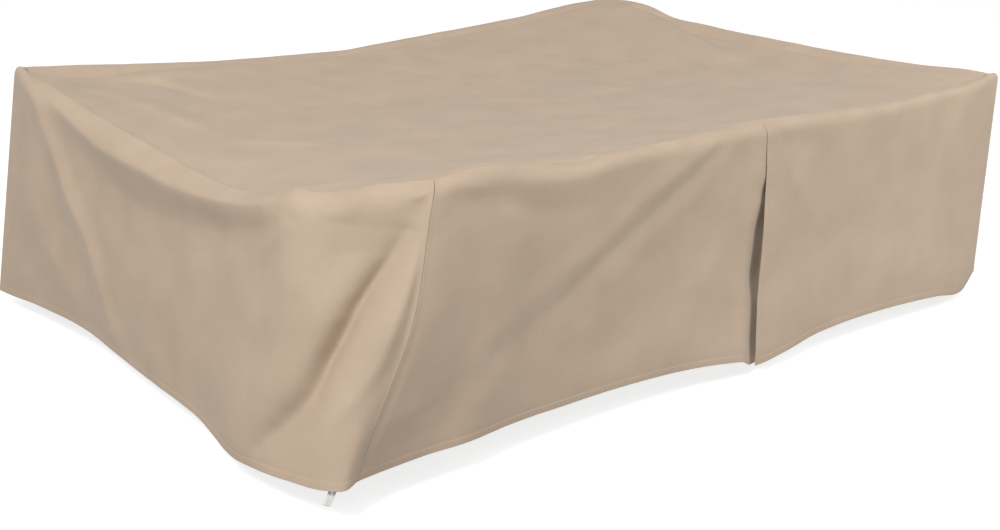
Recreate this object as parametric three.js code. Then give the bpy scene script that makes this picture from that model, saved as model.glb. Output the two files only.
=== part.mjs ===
// Fitted cover for a patio dining set, as it hangs over the set. Millimetres, +Z up.
// The origin is the underside of the middle of the top, +X runs along the long side to the right,
// and the near long side with the vent faces -Y.
// Each panel is one sheet of woven cloth with its hem. Its outer face is worked out from sections
// round the cover, and its inner face lies one thickness of cloth inside it.

import * as THREE from "three";

// Cloth and seams
const CLOTH = 2;
const SEAM_ALLOWANCE = 1;
const CORNER_ALLOWANCE = 2.2;
const SKIRT_DROP = 730;

// Where the vent and the cross seam lie, measured along the near skirt from its left corner seam
const VENT_AT = 1205;

// Down the vent, its left edge draws back from its right edge by gap, stands out by lift and curls
// in by curl, and its right edge stands proud of the skirt.
const VENT_REACH = 48;
const VENT = [
  { down: 0, gap: 0, lift: 0, curl: 0, proud: 0 },
  { down: 0.12, gap: 0, lift: 6, curl: 1, proud: 8 },
  { down: 0.24, gap: 1, lift: 9, curl: 3, proud: 13 },
  { down: 0.33, gap: 4, lift: 5, curl: 5, proud: 13 },
  { down: 0.48, gap: 10, lift: 0, curl: 10, proud: 13 },
  { down: 0.63, gap: 15, lift: 0, curl: 12, proud: 11 },
  { down: 0.76, gap: 6, lift: 0, curl: 8, proud: 8 },
  { down: 0.93, gap: 12, lift: 0, curl: 11, proud: 3 },
  { down: 1, gap: 13, lift: 0, curl: 10, proud: 0 },
];

// Between its ends, the near left corner seam bows out along a level way, and the cloth within reach
// on both sides of it moves along.
const BOW_WAY = [0.76, -0.65, 0];
const BOW_REACH = 240;
const BOW = [
  { down: 0, out: 0 },
  { down: 0.5, out: 34 },
  { down: 0.8, out: 3 },
  { down: 0.95, out: -8 },
  { down: 1, out: -5 },
];

// The sewn edge of the top, mean size, and how far a bump of that edge reaches into the top
const TOP_LENGTH = 2600;
const TOP_WIDTH = 1880;
const EDGE_REACH = 170;

// Steps of the mesh: along the near and far sides on each side of the cross seam, along the cloth
// left of the vent, along the ends, and down each skirt. Steps along the ends are closer together
// towards the near side, and those left of the vent towards it.
const STEPS = { left: 20, right: 16, vent: 30, end: 36 };
const END_CLOSENESS = 1.3;
const DOWN_STEPS = { front: 16, end_left: 18, end_right: 8, back: 8 };
const DOWN_CLOSENESS = 1.6;

// Webbing of the tie
const WEBBING = { width: 9, thickness: 1.4, steps: 6 };

// Each skirt is cut from sections across it, which go round the cover anticlockwise seen from
// above. at is the distance along the sewn edge. seam, knee and hem are places of the outer face:
// the sewn edge, the corner that the shoulder rounds off, and the lower edge.
const FRONT = {
  shoulder: 38,
  sag: 4,
  sections: [
    { at: 0, seam: [-1132, -958, 107], knee: [-1146, -982, 96], hem: [-1424, -1024, -576] },
    { at: 86, seam: [-1046, -955, 113], knee: [-1048, -990, 107], hem: [-1326, -994, -586] },
    { at: 180, seam: [-952, -955, 113], knee: [-952, -993, 98], hem: [-1208, -992, -586] },
    { at: 290, seam: [-842, -955, 97], knee: [-842, -993, 80], hem: [-1078, -1006, -586] },
    { at: 420, seam: [-712, -955, 76], knee: [-712, -993, 66], hem: [-920, -988, -590] },
    { at: 511, seam: [-621, -955, 68], knee: [-621, -993, 66], hem: [-810, -982, -593] },
    { at: 570, seam: [-562, -955, 75], knee: [-562, -993, 72], hem: [-738, -982, -595] },
    { at: 771, seam: [-361, -955, 78], knee: [-361, -993, 76], hem: [-498, -990, -597] },
    { at: 963, seam: [-169, -955, 79], knee: [-169, -993, 74], hem: [-266, -1007, -606] },
    { at: 1144, seam: [12, -955, 84], knee: [10, -993, 80], hem: [-48, -1050, -622] },
    { at: 1205, seam: [73, -955, 85], knee: [72, -995, 80], hem: [22, -1046, -652] },
    { at: 1300, seam: [168, -955, 80], knee: [168, -994, 74], hem: [140, -1056, -638] },
    { at: 1532, seam: [400, -955, 68], knee: [400, -993, 64], hem: [350, -1046, -620] },
    { at: 1811, seam: [679, -955, 53], knee: [679, -993, 56], hem: [640, -1056, -616] },
    { at: 2124, seam: [992, -955, 55], knee: [992, -993, 62], hem: [950, -1068, -632] },
    { at: 2308, seam: [1176, -955, 58], knee: [1180, -993, 70], hem: [1120, -1062, -655] },
    { at: 2432, seam: [1300, -955, 68], knee: [1356, -988, 92], hem: [1244, -1038, -612] },
  ],
};
const RIGHT = {
  shoulder: 55,
  sag: 55,
  sections: [
    { at: 0, seam: [1300, -955, 68], knee: [1356, -988, 92], hem: [1244, -1038, -612] },
    { at: 100, seam: [1300, -855, 71], knee: [1358, -880, 96], hem: [1262, -930, -606] },
    { at: 330, seam: [1300, -625, 60], knee: [1360, -630, 92], hem: [1290, -680, -612] },
    { at: 549, seam: [1300, -406, 53], knee: [1360, -410, 93], hem: [1312, -430, -616] },
    { at: 784, seam: [1300, -171, 58], knee: [1360, -173, 102], hem: [1330, -180, -620] },
    { at: 1061, seam: [1300, 106, 65], knee: [1360, 106, 115], hem: [1345, 110, -618] },
    { at: 1319, seam: [1300, 364, 72], knee: [1360, 364, 131], hem: [1362, 385, -612] },
    { at: 1500, seam: [1300, 545, 96], knee: [1360, 548, 143], hem: [1375, 590, -606] },
    { at: 1640, seam: [1300, 685, 140], knee: [1360, 690, 174], hem: [1384, 750, -602] },
    { at: 1780, seam: [1300, 825, 158], knee: [1360, 840, 179], hem: [1394, 910, -600] },
    { at: 1880, seam: [1290, 925, 156], knee: [1347, 984, 167], hem: [1405, 1050, -604] },
  ],
};
const BACK = {
  shoulder: 55,
  sag: 74,
  sections: [
    { at: 0, seam: [1290, 925, 156], knee: [1347, 984, 167], hem: [1405, 1050, -604] },
    { at: 140, seam: [1150, 925, 142], knee: [1155, 990, 169], hem: [1230, 1066, -600] },
    { at: 415, seam: [875, 925, 112], knee: [875, 992, 143], hem: [930, 1070, -598] },
    { at: 749, seam: [541, 925, 88], knee: [541, 992, 120], hem: [580, 1066, -602] },
    { at: 1061, seam: [229, 925, 74], knee: [229, 992, 105], hem: [240, 1074, -606] },
    { at: 1354, seam: [-64, 925, 62], knee: [-64, 992, 91], hem: [-60, 1064, -604] },
    { at: 1540, seam: [-250, 925, 66], knee: [-250, 992, 94], hem: [-250, 1068, -600] },
    { at: 1846, seam: [-556, 925, 82], knee: [-556, 992, 104], hem: [-570, 1076, -604] },
    { at: 2127, seam: [-837, 925, 94], knee: [-837, 992, 125], hem: [-870, 1070, -606] },
    { at: 2316, seam: [-1026, 925, 98], knee: [-1026, 992, 142], hem: [-1090, 1076, -612] },
    { at: 2443, seam: [-1153, 925, 98], knee: [-1153, 992, 155], hem: [-1240, 1082, -618] },
    { at: 2630, seam: [-1340, 925, 136], knee: [-1366, 974, 172], hem: [-1468, 1078, -628] },
  ],
};
// The left skirt turns off its line at 1616 and crosses to the near corner, where it flares out.
const LEFT = {
  shoulder: 50,
  sag: 90,
  sections: [
    { at: 0, seam: [-1340, 925, 136], knee: [-1366, 974, 172], hem: [-1468, 1078, -628] },
    { at: 80, seam: [-1350, 850, 130], knee: [-1392, 870, 150], hem: [-1462, 980, -625] },
    { at: 200, seam: [-1352, 727, 119], knee: [-1408, 735, 112], hem: [-1450, 800, -612] },
    { at: 490, seam: [-1352, 438, 80], knee: [-1410, 440, 62], hem: [-1436, 482, -606] },
    { at: 880, seam: [-1352, 46, 40], knee: [-1410, 40, 14], hem: [-1464, 20, -614] },
    { at: 1230, seam: [-1352, -305, 9], knee: [-1412, -312, -12], hem: [-1482, -330, -620] },
    { at: 1434, seam: [-1352, -509, 20], knee: [-1412, -525, 2], hem: [-1526, -590, -619] },
    { at: 1560, seam: [-1351, -635, 53], knee: [-1400, -658, 40], hem: [-1534, -735, -614] },
    { at: 1616, seam: [-1344, -689, 70], knee: [-1388, -716, 58], hem: [-1534, -808, -606] },
    { at: 1661, seam: [-1322, -726, 62], knee: [-1368, -762, 50], hem: [-1525, -880, -598] },
    { at: 1722, seam: [-1282, -773, 65], knee: [-1326, -806, 50], hem: [-1516, -950, -590] },
    { at: 1815, seam: [-1228, -848, 88], knee: [-1264, -878, 68], hem: [-1502, -1010, -580] },
    { at: 1885, seam: [-1183, -902, 98], knee: [-1208, -926, 82], hem: [-1474, -1040, -578] },
    { at: 1961, seam: [-1132, -958, 107], knee: [-1146, -982, 96], hem: [-1424, -1024, -576] },
  ],
};

// Folds are soft ridges, where lift is above 0, and troughs along a few points. left and right are
// their widths on either hand, looking along them. On a skirt a point is the distance along it, the
// share of the drop and the lift. On the top it is the place in plan and the lift.
const FRONT_FOLDS = [
  { left: 30, right: 30, points: [[67, 0.06, 3], [133, 0.13, 6], [233, 0.19, 5], [322, 0.24, 0]] },
  { left: 70, right: 70, points: [[120, 0.09, -5], [260, 0.14, -12], [422, 0.21, -9], [500, 0.21, 0]] },
  {
    left: 40,
    right: 40,
    points: [
      [1088, 0.03, 3], [888, 0.15, 6], [711, 0.26, 7],
      [600, 0.38, 7], [311, 0.61, 6], [178, 0.76, 3],
    ],
  },
  {
    left: 42,
    right: 42,
    points: [
      [1011, 0.09, -3], [766, 0.31, -6], [489, 0.55, -5],
      [322, 0.69, -2],
    ],
  },
  {
    left: 50,
    right: 50,
    points: [[1140, 0.04, 3], [999, 0.17, 6], [744, 0.4, 7], [511, 0.64, 6], [278, 0.75, 4]],
  },
  {
    left: 42,
    right: 42,
    points: [
      [1255, 0.04, -4], [1321, 0.12, -7], [1466, 0.13, -5],
      [1600, 0.14, 0],
    ],
  },
  { left: 45, right: 45, points: [[1228, 0.05, 3], [1299, 0.2, 6], [1377, 0.34, 5], [1399, 0.45, 0]] },
  { left: 130, right: 130, points: [[1488, 0.54, 5], [1921, 0.83, 7], [2050, 0.9, 5]] },
  { left: 60, right: 60, points: [[2400, 0.03, 5], [2277, 0.16, 8], [2188, 0.27, 5], [2100, 0.4, 0]] },
];
const LEFT_FOLDS = [
  {
    left: 53,
    right: 55,
    points: [
      [199, 0.11, 9], [266, 0.21, 10], [364, 0.34, 12], [431, 0.45, 13],
      [518, 0.54, 12], [586, 0.65, 12], [698, 0.9, 9],
    ],
  },
  {
    left: 36,
    right: 45,
    points: [
      [150, 0.04, 3], [329, 0.09, 9], [621, 0.13, 11], [853, 0.14, 12],
      [1052, 0.13, 13], [1195, 0.12, 15], [1339, 0.1, 15], [1480, 0.08, 12],
      [1580, 0.06, 4],
    ],
  },
  {
    left: 90,
    right: 36,
    points: [
      [255, 0.12, -4], [420, 0.17, -14], [642, 0.22, -18], [887, 0.23, -20],
      [1122, 0.21, -24], [1312, 0.19, -30], [1480, 0.17, -28], [1550, 0.16, -10],
      [1580, 0.16, 0],
    ],
  },
  {
    left: 40,
    right: 70,
    points: [
      [1526, 0.55, -4], [1623, 0.48, -9], [1685, 0.44, -9], [1749, 0.4, -4],
    ],
  },
  {
    left: 110,
    right: 50,
    points: [
      [1700, 0.5, 6], [1643, 0.6, 14], [1618, 0.69, 16], [1568, 0.78, 14],
      [1520, 0.92, 10],
    ],
  },
  {
    left: 36,
    right: 60,
    points: [
      [1944, 0.08, -5], [1910, 0.16, -20], [1873, 0.24, -26], [1833, 0.33, -28],
      [1792, 0.41, -28], [1757, 0.49, -25], [1721, 0.56, -21], [1698, 0.62, -18],
      [1666, 0.69, -19], [1639, 0.75, -20], [1572, 0.85, -16], [1537, 0.93, -6],
    ],
  },
  {
    left: 60,
    right: 60,
    points: [
      [1925, 0.16, -4], [1890, 0.3, -12], [1850, 0.43, -16], [1805, 0.55, -17],
      [1760, 0.66, -14], [1690, 0.8, -8],
    ],
  },
  {
    left: 55,
    right: 36,
    points: [
      [1946, 0.13, 5], [1943, 0.2, 13], [1934, 0.3, 20], [1918, 0.4, 24],
      [1903, 0.49, 26], [1892, 0.57, 26], [1882, 0.65, 22], [1876, 0.75, 15],
      [1870, 0.85, 9], [1868, 0.95, 4],
    ],
  },
  {
    left: 36,
    right: 36,
    points: [
      [1872, 0.09, -8], [1837, 0.14, -10], [1805, 0.19, -9], [1778, 0.23, -4],
    ],
  },
];
const TOP_FOLDS = [
  {
    left: 190,
    right: 85,
    points: [
      [870, -280, 0], [950, -130, 9], [1060, 46, 18],
      [1160, 222, 25], [1230, 400, 38], [1285, 700, 14],
    ],
  },
  { left: 230, right: 230, points: [[-500, 330, -8], [0, 270, -15], [600, 350, -8]] },
  { left: 60, right: 60, points: [[-1250, 880, 6], [-950, 860, 9], [-700, 870, 4]] },
  {
    left: 50,
    right: 50,
    points: [
      [-1150, 850, -4], [-885, 720, -10], [-685, 700, -6],
      [-500, 690, 0],
    ],
  },
  {
    left: 75,
    right: 75,
    points: [
      [-1220, 760, 0], [-1110, 400, 8], [-1090, 100, 7],
      [-900, -150, 6], [-700, -450, 0],
    ],
  },
  {
    left: 70,
    right: 70,
    points: [
      [-1046, -915, 4], [-850, -885, 13], [-700, -890, 14],
      [-600, -925, 5],
    ],
  },
];

// Below are the rules that the tables feed.

const share = (from, to, value) => THREE.MathUtils.smoothstep(value, from, to);

// A section's nine numbers between two rows: a cubic whose slope at each row is its neighbours'.
const COLUMNS = ["seam", "knee", "hem"];
function sectionAt(side, at) {
  const rows = side.sections;
  const last = rows.length - 1;
  const place = THREE.MathUtils.clamp(at, rows[0].at, rows[last].at);
  let i = rows.findIndex((row) => row.at > place) - 1;
  if (i < 0) i = last - 1;
  const span = rows[i + 1].at - rows[i].at;
  const t = (place - rows[i].at) / span;
  const slope = (k, column, axis) => {
    const before = rows[Math.max(k - 1, 0)];
    const after = rows[Math.min(k + 1, last)];
    return (after[column][axis] - before[column][axis]) / (after.at - before.at);
  };
  const section = {};
  for (const column of COLUMNS) {
    const numbers = [0, 1, 2].map((axis) => {
      const a = rows[i][column][axis];
      const b = rows[i + 1][column][axis];
      const enter = slope(i, column, axis) * span;
      const leave = slope(i + 1, column, axis) * span;
      return (
        (2 * t ** 3 - 3 * t ** 2 + 1) * a +
        (t ** 3 - 2 * t ** 2 + t) * enter +
        (3 * t ** 2 - 2 * t ** 3) * b +
        (t ** 3 - t ** 2) * leave
      );
    });
    section[column] = new THREE.Vector3(...numbers);
  }
  return section;
}

// The height that folds add at a place of a panel, whose unit across and along differ by scale.
function foldLift(folds, x, y, scaleY) {
  let sum = 0;
  for (const fold of folds) {
    let nearest = Infinity;
    let lift = 0;
    for (let i = 0; i + 1 < fold.points.length; i += 1) {
      const [ax, ay, from] = fold.points[i];
      const [bx, by, to] = fold.points[i + 1];
      const run = new THREE.Vector2(bx - ax, (by - ay) * scaleY);
      const off = new THREE.Vector2(x - ax, (y - ay) * scaleY);
      const t = THREE.MathUtils.clamp(off.dot(run) / run.lengthSq(), 0, 1);
      const distance = off.clone().addScaledVector(run, -t).length();
      const width = run.cross(off) > 0 ? fold.left : fold.right;
      if (distance / width < nearest) {
        nearest = distance / width;
        lift = THREE.MathUtils.lerp(from, to, t);
      }
    }
    sum += lift * Math.exp(-(nearest ** 2));
  }
  return sum;
}

// A skirt's outer face before its folds: straight from seam to knee to hem, with the knee rounded.
function plainSkirt(side, at, down) {
  const { seam, knee, hem } = sectionAt(side, at);
  const over = knee.clone().sub(seam);
  const fall = hem.clone().sub(knee);
  const overLength = over.length();
  const fallLength = fall.length();
  over.normalize();
  fall.normalize();
  const before = Math.min(overLength, side.shoulder);
  const after = side.shoulder;
  const gone = down * (overLength + fallLength);
  if (gone < overLength - before) return seam.addScaledVector(over, gone);
  if (gone > overLength + after) return knee.addScaledVector(fall, gone - overLength);
  const q = (gone - overLength + before) / (before + after);
  const start = knee.clone().addScaledVector(over, -before);
  const end = knee.clone().addScaledVector(fall, after);
  const bend = knee.clone().multiplyScalar(2 * q * (1 - q));
  return bend.addScaledVector(start, (1 - q) ** 2).addScaledVector(end, q ** 2);
}

// The way out of a skirt, level, at one place.
function outward(side, at, down) {
  const step = 8;
  const run = plainSkirt(side, at + step, down).sub(plainSkirt(side, at - step, down));
  return run.cross(new THREE.Vector3(0, 0, 1)).normalize();
}

// A number of a table whose rows go down a skirt
function tableAt(rows, column, down) {
  const place = Math.min(down, 1);
  const i = Math.max(1, rows.findIndex((row) => row.down >= place));
  const [above, below] = [rows[i - 1], rows[i]];
  return THREE.MathUtils.lerp(above[column], below[column], share(above.down, below.down, place));
}

// How far the bow of the near left corner seam moves a place of the two skirts beside it
function bowAt(side, at, down) {
  if (side !== FRONT && side !== LEFT) return 0;
  const gap = side === FRONT ? at : side.sections[side.sections.length - 1].at - at;
  return tableAt(BOW, "out", down) * (1 - share(0, BOW_REACH, gap));
}

// A skirt's outer face with its folds, which die out towards its seams.
const FOLD_FADE = 45;
function skirt(side, folds, at, down) {
  const point = plainSkirt(side, at, down);
  point.addScaledVector(new THREE.Vector3(...BOW_WAY), bowAt(side, at, down));
  const end = side.sections[side.sections.length - 1].at;
  const calm =
    share(0, FOLD_FADE, at) * share(0, FOLD_FADE, end - at) * share(0, FOLD_FADE, down * SKIRT_DROP);
  if (calm === 0) return point;
  return point.addScaledVector(outward(side, at, down), calm * foldLift(folds, at, down, SKIRT_DROP));
}

// The left part of the near skirt draws back at the vent, stands out near its top and curls in, and
// the right part's edge stands proud.
function frontLeft(across, down) {
  const end = VENT_AT - SEAM_ALLOWANCE - tableAt(VENT, "gap", down);
  const at = THREE.MathUtils.lerp(CORNER_ALLOWANCE, end, across);
  const lift = tableAt(VENT, "lift", down) * share(end - 3 * VENT_REACH, end, at);
  const curl = 2 * tableAt(VENT, "curl", down) * share(end - VENT_REACH, end + VENT_REACH, at);
  const point = skirt(FRONT, FRONT_FOLDS, at, down);
  return point.addScaledVector(outward(FRONT, at, down), lift - curl);
}
function frontRight(across, down) {
  const end = FRONT.sections[FRONT.sections.length - 1].at - CORNER_ALLOWANCE;
  const at = THREE.MathUtils.lerp(VENT_AT + SEAM_ALLOWANCE, end, across);
  const proud = tableAt(VENT, "proud", down) * (1 - share(VENT_AT, VENT_AT + 3 * VENT_REACH, at));
  const point = skirt(FRONT, FRONT_FOLDS, at, down);
  return point.addScaledVector(outward(FRONT, at, down), proud);
}

// The top hangs between its four sewn edges. Long sags reach right across it, and what is left of
// each edge's ups and downs dies out a short way in.
const EDGES = [FRONT, RIGHT, BACK, LEFT];
function edgePoint(side, part) {
  return sectionAt(side, part * side.sections[side.sections.length - 1].at).seam;
}
function topPoint(x, y) {
  const corners = EDGES.map((side) => edgePoint(side, 0));
  const [nearLeft, nearRight, farRight, farLeft] = corners;
  const line = (a, b, t) => a.clone().lerp(b, t);
  const flat = line(line(nearLeft, nearRight, x), line(farLeft, farRight, x), y);
  const point = flat.clone();
  const humpX = 4 * x * (1 - x);
  const humpY = 4 * y * (1 - y);
  const edges = [
    { side: FRONT, from: line(nearLeft, nearRight, x), part: x, near: 1 - y, hump: humpX, size: TOP_WIDTH },
    { side: BACK, from: line(farLeft, farRight, x), part: 1 - x, near: y, hump: humpX, size: TOP_WIDTH },
    { side: LEFT, from: line(nearLeft, farLeft, y), part: 1 - y, near: 1 - x, hump: humpY, size: TOP_LENGTH },
    { side: RIGHT, from: line(nearRight, farRight, y), part: y, near: x, hump: humpY, size: TOP_LENGTH },
  ];
  let height = flat.z;
  for (const { side, from, part, near, hump, size } of edges) {
    const off = edgePoint(side, part).sub(from);
    point.addScaledVector(off, near);
    const sag = -side.sag * hump;
    const fade = Math.exp(-((((1 - near) * size) / EDGE_REACH) ** 1.5));
    height += near * sag + (off.z - sag) * fade;
  }
  const inside = Math.min(x, 1 - x) * TOP_LENGTH;
  const within = Math.min(y, 1 - y) * TOP_WIDTH;
  const calm = share(0, FOLD_FADE, inside) * share(0, FOLD_FADE, within);
  point.z = height + calm * foldLift(TOP_FOLDS, point.x, point.y, 1);
  return point;
}

// Materials, one for each cloth
const coverCloth = () => new THREE.MeshStandardMaterial({ color: 0xc4b29c, roughness: 0.85, metalness: 0 });
const webbing = () => new THREE.MeshStandardMaterial({ color: 0xd9d9d6, roughness: 0.8, metalness: 0 });

// A closed sheet between an outer face, given by a function of two shares, and the same face one
// thickness inside it. The second share grows to the left of the first, seen from outside.
function sheet(name, material, face, [across, up], [spreadAcross, spreadUp], thickness) {
  const outer = [];
  const inner = [];
  const place = (i, j) => [spreadAcross(i / across), spreadUp(j / up)];
  for (let j = 0; j <= up; j += 1) {
    for (let i = 0; i <= across; i += 1) {
      const point = face(...place(i, j));
      outer.push(...point);
      inner.push(...point.addScaledVector(faceNormal(face, ...place(i, j)), -thickness));
    }
  }
  const corner = (i, j) => j * (across + 1) + i;
  const inside = outer.length / 3;
  const triangles = [];
  const pushBoth = (a, b, c) => triangles.push(a, b, c, a + inside, c + inside, b + inside);
  for (let j = 0; j < up; j += 1) {
    for (let i = 0; i < across; i += 1) {
      const [a, b, c, d] = [corner(i, j), corner(i + 1, j), corner(i + 1, j + 1), corner(i, j + 1)];
      const middle = face(...place(i + 0.5, j + 0.5));
      if (middleGap(outer, a, c, middle) < middleGap(outer, b, d, middle)) {
        pushBoth(a, b, c);
        pushBoth(a, c, d);
      } else {
        pushBoth(a, b, d);
        pushBoth(b, c, d);
      }
    }
  }
  const rim = [];
  for (let i = 0; i < across; i += 1) rim.push(corner(i, 0));
  for (let j = 0; j < up; j += 1) rim.push(corner(across, j));
  for (let i = across; i > 0; i -= 1) rim.push(corner(i, up));
  for (let j = up; j > 0; j -= 1) rim.push(corner(0, j));
  rim.forEach((a, k) => {
    const b = rim[(k + 1) % rim.length];
    triangles.push(a, a + inside, b + inside, a, b + inside, b);
  });
  const geometry = new THREE.BufferGeometry();
  geometry.setAttribute("position", new THREE.Float32BufferAttribute([...outer, ...inner], 3));
  geometry.setIndex(triangles);
  const mesh = new THREE.Mesh(geometry, material);
  mesh.name = name;
  return mesh;
}

// The way out of a face at one place
function faceNormal(face, a, b) {
  const step = 0.002;
  const clamp = (value) => THREE.MathUtils.clamp(value, 0, 1);
  const along = face(clamp(a + step), b).sub(face(clamp(a - step), b));
  const up = face(a, clamp(b + step)).sub(face(a, clamp(b - step)));
  return along.cross(up).normalize();
}

// How far the line between two corners of a quad passes from the middle of the cloth there
function middleGap(points, from, to, middle) {
  const start = new THREE.Vector3().fromArray(points, from * 3);
  const end = new THREE.Vector3().fromArray(points, to * 3);
  return start.add(end).multiplyScalar(0.5).distanceTo(middle);
}

// Spreads of steps: even, closer together towards the near side, and closer towards the seam
const even = (part) => part;
const closerNear = (part) => part ** END_CLOSENESS;
const closerFar = (part) => 1 - (1 - part) ** END_CLOSENESS;
const closerSeam = (part) => 1 - (1 - part) ** DOWN_CLOSENESS;

// A skirt's faces take the share up from the hem, so that its cloth faces out.
const DROP_START = SEAM_ALLOWANCE / SKIRT_DROP;
const upwards = (face) => (across, up) => face(across, THREE.MathUtils.lerp(1, DROP_START, up));
function wholeSkirt(side, folds) {
  const end = side.sections[side.sections.length - 1].at;
  return (across, down) =>
    skirt(side, folds, THREE.MathUtils.lerp(CORNER_ALLOWANCE, end - CORNER_ALLOWANCE, across), down);
}

// One half of the top, from one share of its length to another
function topHalf(from, to) {
  const edgeX = SEAM_ALLOWANCE / TOP_LENGTH;
  const edgeY = SEAM_ALLOWANCE / TOP_WIDTH;
  return (x, y) =>
    topPoint(
      THREE.MathUtils.lerp(from + edgeX, to - edgeX, x),
      THREE.MathUtils.lerp(edgeY, 1 - edgeY, y),
    );
}

// A strand of the tie, from inside the hem to its free end below it
const TIES = [
  { name: "tie_1", at: 1826, from: 0.93, lean: [-16, 13], fall: 42 },
  { name: "tie_2", at: 1850, from: 0.93, lean: [-19, 15], fall: 43 },
];
function tieStrand({ name, at, from, lean, fall }) {
  const side = outward(LEFT, at, 1);
  const across = new THREE.Vector3(0, 0, 1).cross(side).normalize();
  const root = skirt(LEFT, LEFT_FOLDS, at, from).addScaledVector(side, -CLOTH - 5);
  const hem = skirt(LEFT, LEFT_FOLDS, at, 1).addScaledVector(side, -CLOTH - 9);
  const tip = hem.clone().add(new THREE.Vector3(lean[0], lean[1], -fall));
  const line = new THREE.QuadraticBezierCurve3(root, hem, tip);
  const face = (width, along) =>
    line.getPoint(1 - along).addScaledVector(across, (width - 0.5) * WEBBING.width);
  return sheet(name, webbing(), face, [1, WEBBING.steps], [even, even], WEBBING.thickness);
}

const CROSS_SEAM = VENT_AT / FRONT.sections[FRONT.sections.length - 1].at;
const cover = new THREE.Group();
cover.add(
  sheet(
    "top_left",
    coverCloth(),
    topHalf(0, CROSS_SEAM),
    [STEPS.left, STEPS.end],
    [even, closerNear],
    CLOTH,
  ),
  sheet(
    "top_right",
    coverCloth(),
    topHalf(CROSS_SEAM, 1),
    [STEPS.right, STEPS.end],
    [even, closerNear],
    CLOTH,
  ),
  sheet(
    "front_left",
    coverCloth(),
    upwards(frontLeft),
    [STEPS.vent, DOWN_STEPS.front],
    [closerFar, closerSeam],
    CLOTH,
  ),
  sheet(
    "front_right",
    coverCloth(),
    upwards(frontRight),
    [STEPS.right, DOWN_STEPS.front],
    [even, closerSeam],
    CLOTH,
  ),
  sheet(
    "end_right",
    coverCloth(),
    upwards(wholeSkirt(RIGHT, [])),
    [STEPS.end, DOWN_STEPS.end_right],
    [closerNear, closerSeam],
    CLOTH,
  ),
  sheet(
    "back",
    coverCloth(),
    upwards(wholeSkirt(BACK, [])),
    [STEPS.left + STEPS.right, DOWN_STEPS.back],
    [even, closerSeam],
    CLOTH,
  ),
  sheet(
    "end_left",
    coverCloth(),
    upwards(wholeSkirt(LEFT, LEFT_FOLDS)),
    [STEPS.end, DOWN_STEPS.end_left],
    [closerFar, closerSeam],
    CLOTH,
  ),
  ...TIES.map(tieStrand),
);

export default cover;
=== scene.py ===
"""Looks of the patio dining set cover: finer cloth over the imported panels, with its seams, hems,
folds and weave, the webbing tie, the light and the camera.

Lengths in the tables are millimetres, as in the part's source, and shares run from 0 to 1.
"""

import math
from collections import namedtuple

import bmesh
import bpy
import numpy as np
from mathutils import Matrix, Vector, noise


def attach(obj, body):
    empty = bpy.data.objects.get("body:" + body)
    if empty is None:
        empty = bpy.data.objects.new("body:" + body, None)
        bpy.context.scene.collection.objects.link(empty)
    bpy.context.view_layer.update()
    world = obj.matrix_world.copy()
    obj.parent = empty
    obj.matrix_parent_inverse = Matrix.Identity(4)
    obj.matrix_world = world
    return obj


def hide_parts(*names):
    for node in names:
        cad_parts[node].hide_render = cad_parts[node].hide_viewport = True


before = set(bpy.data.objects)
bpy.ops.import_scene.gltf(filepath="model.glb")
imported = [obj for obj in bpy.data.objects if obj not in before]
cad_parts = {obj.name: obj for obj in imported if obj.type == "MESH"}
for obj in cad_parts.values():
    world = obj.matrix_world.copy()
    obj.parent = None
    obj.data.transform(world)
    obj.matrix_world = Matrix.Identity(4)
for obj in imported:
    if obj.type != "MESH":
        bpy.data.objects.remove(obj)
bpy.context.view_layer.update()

MM = 0.001

# Cloth and its drop. Two sheets that are sewn together stay a narrow gap apart.
CLOTH = 1.6
SKIRT_DROP = 730
SEAM_GAP = 0.15

# Seams: the cloth rolls under at the seam itself, over a width and down by a depth, and the stitched
# allowances make a band that stands proud beside it.
SEAM_DEPTH = 0.9
SEAM_WIDTH = 1.3
SEAM_BAND = 8
SEAM_PROUD = 0.8
SEAM_STITCH = 7
SEAM_SHARP = 1.2
ROLL_REACH = 6

# Hems, and the dent that a row of stitches makes. A step says where the face comes down beside the
# hem or band, from its width.
HEM_WIDTH = 20
HEM_PROUD = 0.5
HEM_STEP = (-1, 1)
BAND_STEP = (-1, 1.5)
STITCH_DENT = 0.45
STITCH_WIDTH = 1.2

# The vent, measured along the near skirt from its left corner seam. Its left edge draws back from the
# right edge by gap, stands out by lift and curls in by curl, and its right edge stands proud by proud.
# The gap fades along the left part, as a power of the way. Behind the right edge the left part goes on
# as an underlap, which lies further in near the rim.
VENT_AT = 1205
VENT_REACH = 48
VENT_LIFT_REACH = 3 * VENT_REACH
VENT_GAP_POWER = 6
UNDERLAP = 65
UNDERLAP_SETBACK = 2.7
UNDERLAP_STEP = 9
UNDERLAP_EXTRA = 1.6
UNDERLAP_EXTRA_REACH = 20
Vent = namedtuple("Vent", "down gap lift curl proud")
VENT = (
    Vent(0, 0, 0, 0, 0),
    Vent(0.12, 0, 6, 1, 7),
    Vent(0.24, 0, 9, 2, 10.5),
    Vent(0.33, 3, 5, 5, 10.5),
    Vent(0.48, 10, 0, 10, 13),
    Vent(0.63, 15, 0, 12, 11),
    Vent(0.76, 6, 0, 8, 8),
    Vent(0.93, 12, 0, 11, 3),
    Vent(1, 13, 0, 10, 0),
)

# Between its ends the near left corner seam bows out along a level way, to the near side and to the
# right, and its lower end draws in. The cloth within reach on either side of it moves along.
BOW_WAY = (0.5, -0.9, 0)
BOW_REACH_LEFT = 240
BOW_REACH_FRONT = 420
Bow = namedtuple("Bow", "down out")
BOW = (
    Bow(0, 0),
    Bow(0.48, 32),
    Bow(1, -5),
)

# The top's cut, and how far a bump of its sewn edge reaches into it
TOP_LENGTH = 2600
TOP_WIDTH = 1880
EDGE_REACH = 170
EDGE_SHARP = 1.5

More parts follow.
